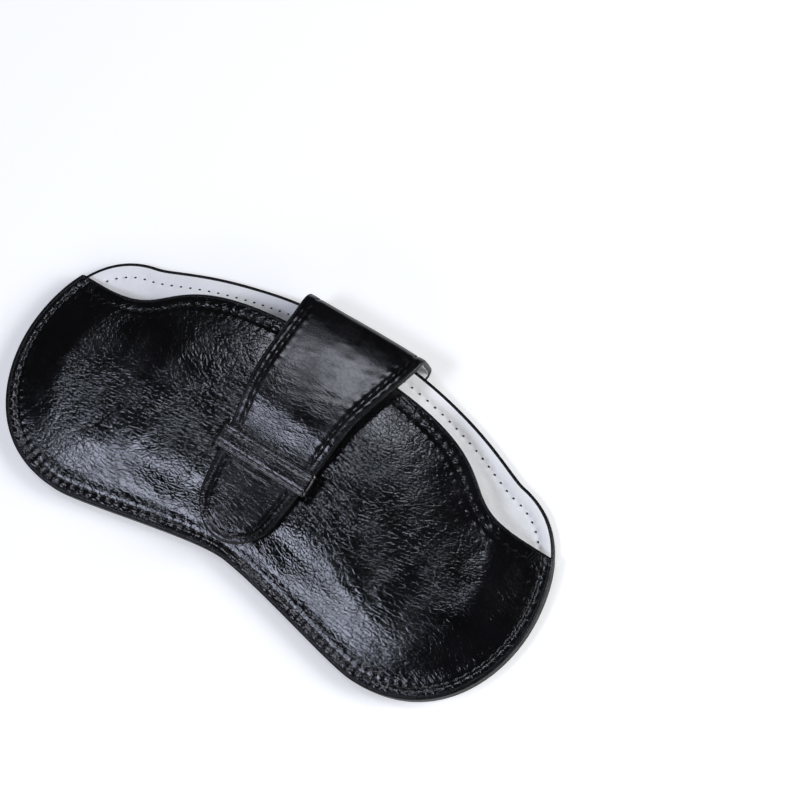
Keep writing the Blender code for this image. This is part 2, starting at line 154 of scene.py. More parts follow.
CORNER_X = float(np.interp(-MOUTH_CORNER, -TOP_CURVE[:, 1], TOP_CURVE[:, 0]))
CORNER = np.array([(CORNER_X, MOUTH_CORNER)])
SEWN_HALF = np.vstack([LOWER_CURVE, [p for p in TOP_CURVE[::-1] if 0 < p[1] < MOUTH_CORNER], CORNER])
SEWN_EDGE = both_sides(SEWN_HALF)
WHOLE_EDGE = np.vstack([both_sides(LOWER_CURVE), both_sides(TOP_CURVE)[::-1]])
OPEN_HALF = np.vstack([[p for p in TOP_CURVE if p[1] > MOUTH_CORNER], CORNER])
OPEN_EDGE = both_sides(OPEN_HALF)[::-1]
MOUTH_HALF = np.vstack([MOUTH_CURVE, CORNER])
MOUTH_LINE = both_sides(MOUTH_HALF)[::-1]


def smooth(value):
    value = np.clip(value, 0.0, 1.0)
    return value * value * (3 - 2 * value)


def nearest(edge, x, y):
    """How far each point is from the edge, and how far along the edge that is."""
    best = np.full(np.shape(x), 1e9)
    along = np.zeros(np.shape(x))
    run = 0.0
    for start, end in zip(edge, edge[1:]):
        step = end - start
        size = float(np.hypot(*step))
        if size < 1e-6:
            continue
        share = np.clip(((x - start[0]) * step[0] + (y - start[1]) * step[1]) / size ** 2, 0, 1)
        gap = np.hypot(x - start[0] - share * step[0], y - start[1] - share * step[1])
        closer = gap < best
        best = np.where(closer, gap, best)
        along = np.where(closer, run + share * size, along)
        run += size
    return best, along


def over_tail_share(x, y, spread):
    """1 over the strap's tail, 0 well away from it; spread is its shoulder's width beside it."""
    beside = np.maximum(np.abs(x) - FOLD_HALF, 0) * TAIL_SHOULDER / spread
    below = np.maximum(TAIL_END - y, 0)
    return 1 - smooth(np.hypot(beside, below) / TAIL_SHOULDER)


def underside(x, y):
    over_tail = over_tail_share(x, y, TAIL_SHOULDER)
    at_rim = 1 - smooth(nearest(WHOLE_EDGE, x, y)[0] / RIM_WIDTH)
    return TAIL_LIFT * over_tail + RIM_LIFT * at_rim * (1 - over_tail)


def dome(x, y):
    swelling = smooth(nearest(SEWN_EDGE, x, y)[0] / DOME_EDGE)
    near_mouth = np.clip(1 - nearest(MOUTH_LINE, x, y)[0] / DROOP_OVER, 0, 1)
    bridged = TAIL_LIFT * (over_tail_share(x, y, BRIDGED_OVER) - over_tail_share(x, y, TAIL_SHOULDER))
    return (DOME_HEIGHT + DOME_SLOPE * y - DROOP * near_mouth ** 2 + bridged) * swelling


WAVE_COUNT = 9


def waves(x, y, seed, shortest, longest):
    """Gentle uneven swells, mostly between -1 and 1, the same on every run."""
    random = np.random.default_rng(seed)
    total = np.zeros(np.shape(x))
    for _ in range(WAVE_COUNT):
        length = random.uniform(shortest, longest)
        turn, phase = random.uniform(0, math.pi), random.uniform(0, 2 * math.pi)
        total += np.sin(2 * math.pi / length * (x * math.cos(turn) + y * math.sin(turn)) + phase)
    return total / WAVE_COUNT ** 0.5 / 1.5


def bump(value, width):
    return np.exp(-(value / width) ** 2)


def seam_relief(distance, along, inset, depth=0.26):
    """A stitched line pulled into the leather: a channel, puckers, and a full edge outside it."""
    stitch = 0.5 - 0.5 * np.cos(2 * math.pi * along / PITCH)
    channel = -depth * bump(distance - inset, CHANNEL_WIDTH) * (0.55 + 0.45 * stitch)
    both_puckers = bump(distance - inset - 1.4, 0.8) + bump(distance - inset + 1.3, 0.6)
    puckers = PUCKER * both_puckers * (1 - stitch)
    flange = FLANGE * bump(distance - inset / 2.2, inset / 3)
    return channel + puckers + flange


# ---------------------------------------------------------------- making pieces

SHARP_DEGREES = 38


def make_piece(name, points, faces, grain, look):
    """An object from points in case coordinates, with grain giving each point's UV in mm."""
    mesh = bpy.data.meshes.new(name)
    placed = np.asarray(points, float) - (0, CENTRE, 0)
    mesh.from_pydata((placed * MM).tolist(), [], faces)
    layer = mesh.uv_layers.new(name="grain")
    corners = np.zeros(len(mesh.loops), np.int32)
    mesh.loops.foreach_get("vertex_index", corners)
    layer.data.foreach_set("uv", np.asarray(grain, np.float32)[corners].ravel())
    mesh.materials.append(look)
    mesh.shade_smooth()
    mesh.set_sharp_from_angle(angle=math.radians(SHARP_DEGREES))
    mesh.validate()
    piece = bpy.data.objects.new(name, mesh)
    bpy.context.scene.collection.objects.link(piece)
    return piece


def slab(name, outer, inner, grain, look):
    """A closed sheet between two grids of points."""
    rows, columns = outer.shape[:2]
    points = np.vstack([outer.reshape(-1, 3), inner.reshape(-1, 3)])
    index = np.arange(rows * columns).reshape(rows, columns)
    a, b = index[:-1, :-1].ravel(), index[1:, :-1].ravel()
    c, d = index[1:, 1:].ravel(), index[:-1, 1:].ravel()
    under = rows * columns
    faces = np.vstack([np.c_[a, b, c, d], np.c_[d, c, b, a] + under]).tolist()
    border = np.concatenate([index[:, 0], index[-1, 1:], index[-2::-1, -1], index[0, -2:0:-1]])
    for first, second in zip(border, np.roll(border, -1)):
        faces.append([int(second), int(first), int(first) + under, int(second) + under])
    grains = np.vstack([grain.reshape(-1, 2), grain.reshape(-1, 2)])
    return make_piece(name, points, faces, grains, look)


def tube(rings):
    """Points, faces and grain of a tube through rings of points, capped at both ends."""
    rings = np.asarray(rings, float)
    count, around = rings.shape[:2]
    middle = rings.mean(axis=1)
    run = np.concatenate([[0], np.cumsum(np.linalg.norm(np.diff(middle, axis=0), axis=1))])
    faces = []
    for k in range(count - 1):
        here, there = k * around, (k + 1) * around
        for n in range(around):
            m = (n + 1) % around
            faces.append([here + n, here + m, there + m, there + n])
    faces += [list(range(around))[::-1], list(range((count - 1) * around, count * around))]
    grain = np.stack(np.broadcast_arrays(run[:, None], np.arange(around)[None] * 0.4), -1)
    return rings.reshape(-1, 3), faces, grain.reshape(-1, 2)


def gathered(name, shapes, look):
    """One piece from many small closed shapes."""
    points, faces, grain, start = [], [], [], 0
    for one_points, one_faces, one_grain in shapes:
        points.append(one_points)
        faces += [[p + start for p in face] for face in one_faces]
        grain.append(one_grain)
        start += len(one_points)
    return make_piece(name, np.vstack(points), faces, np.vstack(grain), look)


def even(run, step):
    """The run again at even steps of about the given length."""
    run = np.asarray(run, float)
    at = np.concatenate([[0], np.cumsum(np.linalg.norm(np.diff(run[:, :3], axis=0), axis=1))])
    places = np.linspace(0, at[-1], max(round(at[-1] / step), 2) + 1)
    return np.stack([np.interp(places, at, run[:, n]) for n in range(run.shape[1])], 1)


STITCH_RINGS, STITCH_SIDES = 9, 8


def stitches(run, length=2.35, radius=0.27, slant=14, sink=0.12, seed=1):
    """A capsule for each stitch along a run of (x, y, z, out_x, out_y, out_z)."""
    random = np.random.default_rng(seed)
    places = even(run, PITCH / 2)
    made = []
    for k in range(1, len(places) - 1, 2):
        middle, out = places[k, :3], places[k, 3:] / np.linalg.norm(places[k, 3:])
        ahead = places[k + 1, :3] - places[k - 1, :3]
        ahead -= out * (ahead @ out)
        ahead /= np.linalg.norm(ahead)
        side = np.cross(out, ahead)
        turn = math.radians(slant + random.uniform(-3, 3))
        along = ahead * math.cos(turn) + side * math.sin(turn)
        across = side * math.cos(turn) - ahead * math.sin(turn)
        half = length / 2 * random.uniform(0.94, 1.04)
        bend = ((places[k + 1, :3] + places[k - 1, :3]) / 2 - middle) * (half / (PITCH / 2)) ** 2
        rings = []
        for t in np.linspace(-1, 1, STITCH_RINGS):
            thick = radius * max(1 - abs(t) ** 3.2, 0.02) ** 0.5
            bow = out * (radius * 0.55 * (1 - t * t) - sink - radius * 0.5 * t ** 4) + bend * t * t
            rings.append([middle + along * half * t + bow + across * thick * math.cos(a)
                          + out * thick * 0.85 * math.sin(a)
                          for a in np.linspace(0, 2 * math.pi, STITCH_SIDES, endpoint=False)])
        points, faces, grain = tube(rings)
        made.append((points, [face[::-1] for face in faces], grain))
    return made


def bead(edge, low, high, layers, reach=0.34, over=0.55):
    """Edge paint along an outline: a rounded band from the lower face to the upper one.

    edge runs with its outer side on the right; low and high are heights at its points.
    """
    edge = np.asarray(edge, float)
    ahead = np.gradient(edge, axis=0)
    ahead /= np.maximum(np.hypot(ahead[:, 0], ahead[:, 1]), 1e-9)[:, None]
    outward = np.c_[ahead[:, 1], -ahead[:, 0]]
    profile = [(-over, 1.0, 0.02), (-over * 0.5, 1.0, 0.13), (0.0, 1.0, 0.06),
               (reach * 0.7, 1.0, -0.14)]
    for k in range(layers * 4 + 1):
        share = 1 - (k + 0.5) / (layers * 4 + 1)
        swell = reach * (1 + 0.14 * math.cos(2 * math.pi * layers * share))
        profile.append((swell, share, 0.0))
    profile += [(reach * 0.7, 0.0, 0.14), (0.0, 0.0, -0.02), (-over, 0.0, 0.0)]
    rings = []
    for n, (point, out) in enumerate(zip(edge, outward)):
        rings.append([(*(point + out * aside), low[n] + (high[n] - low[n]) * share + more)
                      for aside, share, more in profile])
    return tube(rings)


# ---------------------------------------------------------------- materials

def node(tree, kind, settings=(), inputs=()):
    made = tree.nodes.new(kind)
    for name, value in dict(settings).items():
        setattr(made, name, value)
    for name, value in dict(inputs).items():
        if isinstance(value, bpy.types.NodeSocket):
            tree.links.new(value, made.inputs[name])
        else:
            made.inputs[name].default_value = value
    return made


def maths(tree, operation, first, second=0.0, third=0.0):
    return node(tree, "ShaderNodeMath", {"operation": operation},
                {0: first, 1: second, 2: third}).outputs[0]


def vector(tree, operation, first, second):
    return node(tree, "ShaderNodeVectorMath", {"operation": operation},
                {0: first, 1: second}).outputs[0]


def shader(name, colour, roughness, **constants):
    """A new material with its constants set on the shader's own sockets."""
    made = bpy.data.materials.new(name)
    made.use_nodes = True
    surface = made.node_tree.nodes["Principled BSDF"]
    surface.inputs["Base Color"].default_value = (*colour, 1)
    surface.inputs["Roughness"].default_value = roughness
    for socket, value in constants.items():
        surface.inputs[socket.replace("_", " ")].default_value = value
    return made, made.node_tree, surface


def grain_uv(tree):
    return node(tree, "ShaderNodeUVMap", {"uv_map": "grain"}).outputs["UV"]


def noise(tree, at, scale, detail=3.0, rough=0.5, output="Fac"):
    inputs = {"Vector": at, "Scale": scale, "Detail": detail, "Roughness": rough}
    return node(tree, "ShaderNodeTexNoise", {"noise_dimensions": "2D"}, inputs).outputs[output]


def remap(tree, value, low, high, to_low=0.0, to_high=1.0):
    return node(tree, "ShaderNodeMapRange", {"interpolation_type": "SMOOTHSTEP"},
                {"Value": value, "From Min": low, "From Max": high,
                 "To Min": to_low, "To Max": to_high}).outputs[0]


def creases(tree, at, length, gap, turn, width):
    """Long thin cells whose borders are the creases: 1 on the skin, 0 in a crease."""
    laid = node(tree, "ShaderNodeMapping", inputs={
        "Vector": at, "Rotation": (0, 0, math.radians(turn)),
        "Scale": (1 / length, 1 / gap, 1)}).outputs[0]
    border = node(tree, "ShaderNodeTexVoronoi",
                  {"voronoi_dimensions": "2D", "feature": "DISTANCE_TO_EDGE"},
                  {"Vector": laid, "Scale": 1.0}).outputs["Distance"]
    return remap(tree, border, 0.0, width)


def drifting(tree, at, wave, reach):
    """Coordinates pushed about by slow noise, so that the creases change direction."""
    push = vector(tree, "SUBTRACT", noise(tree, at, 1 / wave, 1.0, output="Color"), (0.5, 0.5, 0.5))
    return vector(tree, "ADD", at, vector(tree, "MULTIPLY", push, (reach, reach, 0)))


def leather_look(name, colour, crease_depth, roughness, coat, wrinkles=None):
    """Black waxed leather. From one to the other of wrinkles' two grain heights the creases fade."""
    made, tree, surface = shader(name, colour, roughness, Coat_Weight=coat, Coat_Roughness=0.16,
                                 Specular_IOR_Level=0.5)
    at = grain_uv(tree)
    drift = drifting(tree, drifting(tree, at, 40, 14), 2.6, 1.1)
    long_cells = creases(tree, drift, 3.1, 1.25, 8, 0.22)
    short_cells = creases(tree, drift, 1.6, 0.85, -16, 0.26)
    cells = maths(tree, "MULTIPLY_ADD", long_cells, 0.62, maths(tree, "MULTIPLY", short_cells, 0.38))
    folds = noise(tree, vector(tree, "MULTIPLY", drift, (0.5, 1.6, 1)), 0.22, 3.0, 0.6)
    pores = noise(tree, at, 2.6, 3.0, 0.6)
    patches = remap(tree, noise(tree, at, 0.045, 2.0), 0.36, 0.62, 0.65, 1.0)
    if wrinkles:
        height = node(tree, "ShaderNodeSeparateXYZ", inputs={0: at}).outputs["Y"]
        patches = maths(tree, "MULTIPLY", patches, remap(tree, height, *wrinkles, 1.0, 0.12))
    relief = maths(tree, "MULTIPLY", cells, patches)
    relief = maths(tree, "MULTIPLY_ADD", folds, 0.8, relief)
    relief = maths(tree, "MULTIPLY_ADD", pores, 0.22, relief)
    bumped = node(tree, "ShaderNodeBump", inputs={
        "Height": relief, "Distance": crease_depth * MM, "Strength": 1.0}).outputs[0]
    tree.links.new(bumped, surface.inputs["Normal"])
    tree.links.new(bumped, surface.inputs["Coat Normal"])
    worn = remap(tree, noise(tree, at, 0.09, 4.0, 0.6), 0.3, 0.7, roughness - 0.05, roughness + 0.08)
    tree.links.new(maths(tree, "MULTIPLY_ADD", cells, -0.06, worn), surface.inputs["Roughness"])
    tone = node(tree, "ShaderNodeMix", {"data_type": "RGBA"}, {
        0: remap(tree, noise(tree, at, 0.07, 3.0), 0.3, 0.7),
        6: (*[0.7 * c for c in colour], 1), 7: (*[1.45 * c for c in colour], 1)}).outputs[2]
    tree.links.new(tone, surface.inputs["Base Color"])
    return made


INK = (0.004, 0.004, 0.005)      # edge paint and thread


def paint_look():
    made, tree, surface = shader("edge_paint", INK, 0.3, Specular_IOR_Level=0.25)
    at = grain_uv(tree)
    uneven = maths(tree, "MULTIPLY_ADD", noise(tree, at, 0.5, 3.0), 1.0, noise(tree, at, 3.0, 2.0))
    bumped = node(tree, "ShaderNodeBump", inputs={
        "Height": uneven, "Distance": 0.07 * MM, "Strength": 1.0}).outputs[0]
    tree.links.new(bumped, surface.inputs["Normal"])
    tree.links.new(remap(tree, noise(tree, at, 0.3, 3.0), 0.3, 0.7, 0.2, 0.36),
                   surface.inputs["Roughness"])
    return made


WARP_PITCH, WEFT_PITCH, PLY_PITCH = 0.36, 0.22, 0.42


def lining_look():
    """White satin: a fine weave of two crossed waves, with slubs in the thread."""
    made, tree, surface = shader("satin_lining", (0.86, 0.86, 0.87), 0.42, Sheen_Weight=0.15,
                                 Sheen_Roughness=0.4)
    at = grain_uv(tree)
    split = node(tree, "ShaderNodeSeparateXYZ", inputs={0: at}).outputs
    warp = maths(tree, "SINE", maths(tree, "MULTIPLY", split["X"], 2 * math.pi / WARP_PITCH))
    weft = maths(tree, "SINE", maths(tree, "MULTIPLY", split["Y"], 2 * math.pi / WEFT_PITCH))
    weave = maths(tree, "MULTIPLY_ADD", warp, 0.5, weft)
    slubs = noise(tree, vector(tree, "MULTIPLY", at, (0.35, 2.2, 1)), 0.9, 3.0, 0.6)
    relief = maths(tree, "MULTIPLY_ADD", slubs, 2.4, maths(tree, "MULTIPLY", weave, 0.16))
    bumped = node(tree, "ShaderNodeBump", inputs={
        "Height": relief, "Distance": 0.022 * MM, "Strength": 1.0}).outputs[0]
    tree.links.new(bumped, surface.inputs["Normal"])
    soiled = remap(tree, noise(tree, at, 0.06, 4.0, 0.6), 0.35, 0.7)
    tone = node(tree, "ShaderNodeMix", {"data_type": "RGBA"}, {
        0: soiled, 6: (0.93, 0.93, 0.935, 1), 7: (0.87, 0.87, 0.865, 1)}).outputs[2]
    tree.links.new(tone, surface.inputs["Base Color"])
    tree.links.new(remap(tree, slubs, 0.3, 0.7, 0.36, 0.5), surface.inputs["Roughness"])
    return made


def thread_look(name, roughness, specular):
    """Black thread with the slanting lines of its twist."""
    made, tree, surface = shader(name, INK, roughness, Specular_IOR_Level=specular)
    at = grain_uv(tree)
    split = node(tree, "ShaderNodeSeparateXYZ", inputs={0: at}).outputs
    lean = maths(tree, "MULTIPLY_ADD", split["Y"], 0.5, split["X"])
    ply = maths(tree, "SINE", maths(tree, "MULTIPLY", lean, 2 * math.pi / PLY_PITCH))
    fuzz = noise(tree, at, 9.0, 2.0)
    bumped = node(tree, "ShaderNodeBump", inputs={
        "Height": maths(tree, "MULTIPLY_ADD", fuzz, 0.7, ply), "Distance": 0.04 * MM,
        "Strength": 1.0}).outputs[0]
    tree.links.new(bumped, surface.inputs["Normal"])
    tree.links.new(remap(tree, fuzz, 0.3, 0.7, roughness - 0.06, roughness + 0.1),
                   surface.inputs["Roughness"])
    return made


PANEL = leather_look("panel_leather", (0.0016, 0.0015, 0.0023), 0.052, 0.19, coat=0.15)
STRAP = leather_look("strap_leather", (0.0018, 0.0017, 0.0026), 0.035, 0.25, coat=0.1,
                     wrinkles=(14, 34))
PAINT = paint_look()
SATIN = lining_look()
THREAD = thread_look("black_thread", 0.6, 0.12)
WAXED = thread_look("waxed_thread", 0.3, 0.75)


# ---------------------------------------------------------------- panels

FINE, PLAIN = (561, 171), (241, 81)      # columns and rows of a sheet's grid
EDGE_BACK_OFF = 0.02      # the grid stops this short of the case's two ends
TUCK = 0.1                # how far a leather reaches into the gap next to it


def panel_grid(upper_edge, columns, rows):
    turn = np.linspace(-1, 1, columns) * math.pi / 2
    x = np.broadcast_to(((HALF_LENGTH - EDGE_BACK_OFF) * np.sin(turn))[:, None], (columns, rows))
    low, high = lower_y(x), upper_edge(x)
    return x, low + (high - low) * np.linspace(0, 1, rows)[None]


def panel(name, upper_edge, low, high, look, size, cad_node):
    """A sheet of the case; low and high give its faces' heights at x and y."""
    x, y = panel_grid(upper_edge, *size)
    outer, inner = np.stack([x, y, high(x, y)], -1), np.stack([x, y, low(x, y)], -1)
    piece = slab(name, outer, inner, np.stack([x, y], -1), look)
    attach(piece, "case")
    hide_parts(cad_node)


def keeper_dimple(x, y):
    """The leather pulled down where the keeper's ends go through it."""
    beside = np.abs(x) - KEEPER_HALF - KEEPER_THICK / 2
    beyond = np.maximum(np.maximum(KEEPER_LOW - y, y - KEEPER_HIGH), 0)
    return -0.45 * bump(np.hypot(beside, beyond), 1.3)


def front_top(x, y):
    sewn, sewn_along = nearest(SEWN_EDGE, x, y)
    mouth, mouth_along = nearest(MOUTH_LINE, x, y)
    plain = underside(x, y) + dome(x, y) + FRONT_TOP_AT
    free = smooth(np.minimum(sewn, mouth) / 9)
    under_strap = smooth((STRAP_HALF + 7 - np.abs(x)) / 6) * smooth((y - TIP_END + 3) / 5)
    swells = 0.2 * waves(x, y, 4, 26, 50) + 0.05 * waves(x, y, 9, 8, 15)
    swells = swells * free * (1 - under_strap) * smooth((mouth - 8) / 14) - 0.12 * under_strap
    wrinkles = 0.03 * waves(x * 0.6, y * 1.4, 12, 3.2, 6) * free
    relief = (seam_relief(sewn, sewn_along, SEAM_INSET)
              + seam_relief(mouth, mouth_along, MOUTH_INSET))
    return plain + swells + wrinkles + relief + keeper_dimple(x, y)


def back_bottom(x, y):
    """The back's outer face; it bulges only upwards, so that the case still lies flat."""
    edge, along = nearest(WHOLE_EDGE, x, y)
    plain = underside(x, y)
    raised = 0.18 * (1 + waves(x, y, 21, 20, 42)) * smooth(edge / 12)
    return plain + 0.03 + np.maximum(raised, 0) - seam_relief(edge, along, SEAM_INSET, 0.2) * 0.8


def back_lining_top(x, y):
    edge, along = nearest(OPEN_EDGE, x, y)
    stitch = 0.5 - 0.5 * np.cos(2 * math.pi * along / PITCH)
    pulled = -0.16 * bump(edge - BACK_INSET, 0.8) * (0.5 + 0.5 * stitch)
    soft = 0.10 * waves(x, y, 31, 9, 26) * smooth(edge / 5) + 0.06 * bump(edge - 1.6, 1.4)
    return underside(x, y) + BACK_TOP_AT + pulled + np.minimum(soft, 0.12)


def plain_height(rise, domed=False):
    if domed:
        return lambda x, y: underside(x, y) + dome(x, y) + rise
    return lambda x, y: underside(x, y) + rise


def make_panels():
    panel("front_leather_panel", mouth_y, plain_height(FRONT_LEATHER_AT - TUCK, True), front_top,
          PANEL, FINE, "front_leather")
    panel("back_leather_panel", top_y, back_bottom, plain_height(BACK_LINING_AT - TUCK),
          PANEL, FINE, "back_leather")
    panel("front_lining_sheet", mouth_y, plain_height(FRONT_LINING_AT, True),
          plain_height(FRONT_LEATHER_AT - 0.12, True), SATIN, PLAIN, "front_lining")
    panel("back_lining_sheet", top_y, plain_height(BACK_LINING_AT - 0.08), back_lining_top,
          SATIN, FINE, "back_lining")


BEAD_STEP, SEAM_STEP = 0.9, 0.75


def bead_along(name, edge, low, high, layers, **options):
    path = even(np.c_[edge, np.zeros(len(edge))], BEAD_STEP)[:, :2]
    lows, highs = low(path[:, 0], path[:, 1]), high(path[:, 0], path[:, 1])
    shape = bead(path, lows, highs, layers, **options)
    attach(gathered(name, [shape], PAINT), "case")


def make_edges():
    bead_along("rim_edge_paint", SEWN_EDGE, plain_height(0.06), plain_height(FRONT_TOP_AT), 4,
               reach=0.42, over=0.8)
    bead_along("back_edge_paint", OPEN_EDGE, plain_height(0.02), plain_height(BACK_TOP_AT), 2)
    bead_along("mouth_edge_paint", MOUTH_LINE, plain_height(FRONT_LINING_AT, True),
               plain_height(FRONT_TOP_AT, True), 2)


def seam_run(edge, inset, height, out):
    """A run of places the inset inside an edge that has its outer side on the right."""
    path = even(np.c_[edge, np.zeros(len(edge))], SEAM_STEP)[:, :2]
    ahead = np.gradient(path, axis=0)
    ahead /= np.hypot(ahead[:, 0], ahead[:, 1])[:, None]
    path = path - np.c_[ahead[:, 1], -ahead[:, 0]] * inset
    kept = nearest(edge, path[:, 0], path[:, 1])[0] > inset * 0.98
    path = path[kept]
    heights = height(path[:, 0], path[:, 1])
    return np.c_[path, heights, np.zeros((len(path), 2)), np.full(len(path), out)]


def stitch_piece(name, shapes, *nodes, look=THREAD):
    """A row of stitches that rides on the case; nodes are the CAD's rows that it replaces."""
    piece = gathered(name, shapes, look)
    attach(piece, "case")
    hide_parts(*nodes)


BROAD, BROAD_SLANT = {"length": 2.5, "radius": 0.42}, 26      # the mouth's and strap's stitches
TACK_STITCHES = 3


def make_seams():
    front_run = seam_run(SEWN_EDGE, SEAM_INSET, front_top, 1)
    stitch_piece("rim_seam_front", stitches(front_run, sink=0.02, radius=0.27), "seam_stitches_front",
                 look=WAXED)
    back_run = seam_run(SEWN_EDGE, SEAM_INSET, back_bottom, -1)
    stitch_piece("rim_seam_back", stitches(back_run, sink=0.14, radius=0.25, seed=2),
                 "seam_stitches_back")
    mouth_run = seam_run(MOUTH_LINE, MOUTH_INSET, front_top, 1)
    stitch_piece("mouth_seam", stitches(mouth_run, **BROAD, slant=BROAD_SLANT, sink=0.06, seed=3),
                 "mouth_stitches")
    lining_run = seam_run(OPEN_EDGE, BACK_INSET, back_lining_top, 1)
    shown = lining_run[lining_run[:, 1] > mouth_y(lining_run[:, 0]) + 1.2]
    stitch_piece("lining_seam", stitches(shown, length=0.95, radius=0.26, slant=10, seed=4),
                 "back_edge_stitches")
    outer_run = seam_run(OPEN_EDGE, BACK_INSET, back_bottom, -1)
    outside = outer_run[np.abs(outer_run[:, 0]) > FOLD_HALF + SKEW + 1]
    halves = [outside[outside[:, 0] * side > 0] for side in (-1, 1)]
    stitch_piece("back_seam_outside", [shape for half_run in halves
                                       for shape in stitches(half_run, sink=0.14, seed=5)])
    for word, side in (("left", -1), ("right", 1)):
        make_tack(word, side)


def make_tack(word, side):
    """A few stitches laid across the end of the mouth."""
    made = []
    for k in range(TACK_STITCHES):
        x = side * (CORNER_X - 4.2 - 0.9 * k)
        y = np.linspace(MOUTH_CORNER - 3.4, MOUTH_CORNER + 0.3, 3)
        xs = np.full(3, x) + side * np.array([0.0, 0.35, 0.7])
        z = front_top(xs, np.minimum(y, MOUTH_CORNER - 0.2)) + 0.08
        run = np.c_[xs, y, z, np.zeros((3, 2)), np.ones(3)]
        made += stitches(even(run, 2.0), length=3.4, radius=0.24, slant=0, sink=0.05, seed=6 + k)[:1]
    stitch_piece(f"corner_stitches_{word}", made, f"corner_tack_{word}")


# ---------------------------------------------------------------- strap

BEND_Y, HEEL_Y = FOLD_FACE - BEND_RADIUS, FOLD_FACE - HEEL_RADIUS
SHOULDER_END, TONGUE_ROOT = 45.75, 6.15
KNEE = (SHOULDER_END + TONGUE_ROOT) / 2
FRONT_NORMAL = (-math.sin(SLOPE), math.cos(SLOPE))
STRAP_STEP = 0.5

# Between the keeper and the fold the strap arches: its slope at some places along it
ARCH_AT = [KEEPER_HIGH + 2, 9.5, 15, 20, 30, 38, 43, 47]
ARCH_SLOPE = [DOME_SLOPE, 0.22, 0.22, 0.04, -0.02, -0.09, -0.18, -0.32]


def slope_at(y):
    return np.interp(y, ARCH_AT, ARCH_SLOPE)


def arched(y):
    """How much the arch lifts the strap off its plane; below zero near the fold."""
    fine = np.linspace(ARCH_AT[0], FOLD_FACE, 400)
    lift = np.concatenate([[0], np.cumsum((slope_at(fine[1:]) - DOME_SLOPE) * np.diff(fine))])
    return np.interp(y, fine, lift)


def skewed(y):
    return SKEW * smooth((y - SKEW_FROM) / SKEW_OVER)


def front_half(y):
    half = np.minimum(STRAP_HALF + STRAP_TAPER * y, FOLD_HALF)
    share = np.clip((TIP_START - y) / (TIP_START - TIP_END), 0, 1)
    return half * np.sqrt(np.maximum(1 - share ** 2, 0))


def tail_half(y):
    share = np.clip(1 - (y - TAIL_END) / TAIL_ROUND, 0, 1)
    return (FOLD_HALF - TAIL_TAPER * (TOP_APEX - y)) * (1 - share ** 4) ** 0.5


BEND_INNER = BEND_RADIUS - STRAP_THICK
BEND_END = math.pi / 2 + math.atan(ARCH_SLOPE[-1])
FRONT_START = BEND_Y + BEND_INNER * math.cos(BEND_END)
BEND_Z = (STRAP_PLANE_AT + DOME_SLOPE * FRONT_START + arched(FRONT_START)
          - BEND_INNER * math.sin(BEND_END))


def strap_line():
    """The strap from its tail to its tip: y, z, normal_y, normal_z, half width, aside.

    y and z are on the lining's face, and the normal points to the leather. The second
    result is the number of the first row on the front.
    """
    rows = []
    tail_turn = np.linspace(0, math.pi / 2, 14)
    tail = np.concatenate([TAIL_END + TAIL_ROUND * (1 - np.cos(tail_turn)),
                           np.arange(TAIL_END + TAIL_ROUND + STRAP_STEP, HEEL_Y, STRAP_STEP)])
    rows += [(y, STRAP_THICK, 0.0, -1.0, tail_half(y), skewed(y)) for y in tail]
    for a in np.linspace(-math.pi / 2, 0, 12):
        inner = HEEL_RADIUS - STRAP_THICK
        rows.append((HEEL_Y + inner * math.cos(a), HEEL_RADIUS + inner * math.sin(a),
                     math.cos(a), math.sin(a), FOLD_HALF, SKEW))
    rows += [(FOLD_FACE - STRAP_THICK, z, 1.0, 0.0, FOLD_HALF, SKEW)
             for z in np.arange(HEEL_RADIUS + STRAP_STEP, BEND_Z - STRAP_STEP / 2, STRAP_STEP)]
    rows += [(BEND_Y + BEND_INNER * math.cos(a), BEND_Z + BEND_INNER * math.sin(a),
              math.cos(a), math.sin(a), FOLD_HALF, SKEW) for a in np.linspace(0, BEND_END, 18)]
    behind = len(rows)
    tip_turn = np.linspace(0, math.pi / 2, 26)[1:]
    front = np.concatenate([np.arange(rows[-1][0] - STRAP_STEP, TIP_START, -STRAP_STEP),
                            TIP_START + (TIP_END - TIP_START) * np.sin(tip_turn)])
    turn = np.arctan(slope_at(front))
    rows += [(y, STRAP_PLANE_AT + DOME_SLOPE * y + arched(y), -math.sin(a), math.cos(a),
              front_half(y), skewed(y)) for y, a in zip(front, turn)]
    return np.array(rows), behind


LINE, FIRST_FRONT = strap_line()
RUN = np.concatenate([[0], np.cumsum(np.hypot(*np.diff(LINE[:, :2], axis=0).T))])
IS_TAIL = LINE[:, 3] < -0.5
IS_FRONT = np.arange(len(LINE)) >= FIRST_FRONT
# Grain heights: on the front they are about y, and behind the fold they run on from there
GRAIN_V = LINE[FIRST_FRONT, 0] + (RUN[FIRST_FRONT] - RUN)
ACROSS = 73


def strap_row_of(y):
    """The row of the line that lies at y on the front."""
    return int(np.flatnonzero(IS_FRONT)[np.argmin(np.abs(LINE[IS_FRONT, 0] - y))])


RISER_ROWS = np.flatnonzero((LINE[:, 2] > 0.999) & (np.abs(LINE[:, 3]) < 0.01))
CUTS = [0, int(RISER_ROWS[len(RISER_ROWS) // 2]), strap_row_of(BEND_Y - 0.1),
        strap_row_of((SHOULDER_END + KNEE) / 2), strap_row_of((KNEE + TONGUE_ROOT) / 2), len(LINE) - 1]
# Each part of the strap, with the CAD's segments that it stands for
PART_WORDS = ["tail", "riser", "shoulder", "middle", "tongue"]
PART_NODES = [["strap_tail"], ["strap_riser"], ["strap_shoulder"], ["strap_upper", "strap_lower"],
              ["strap_tongue"]]


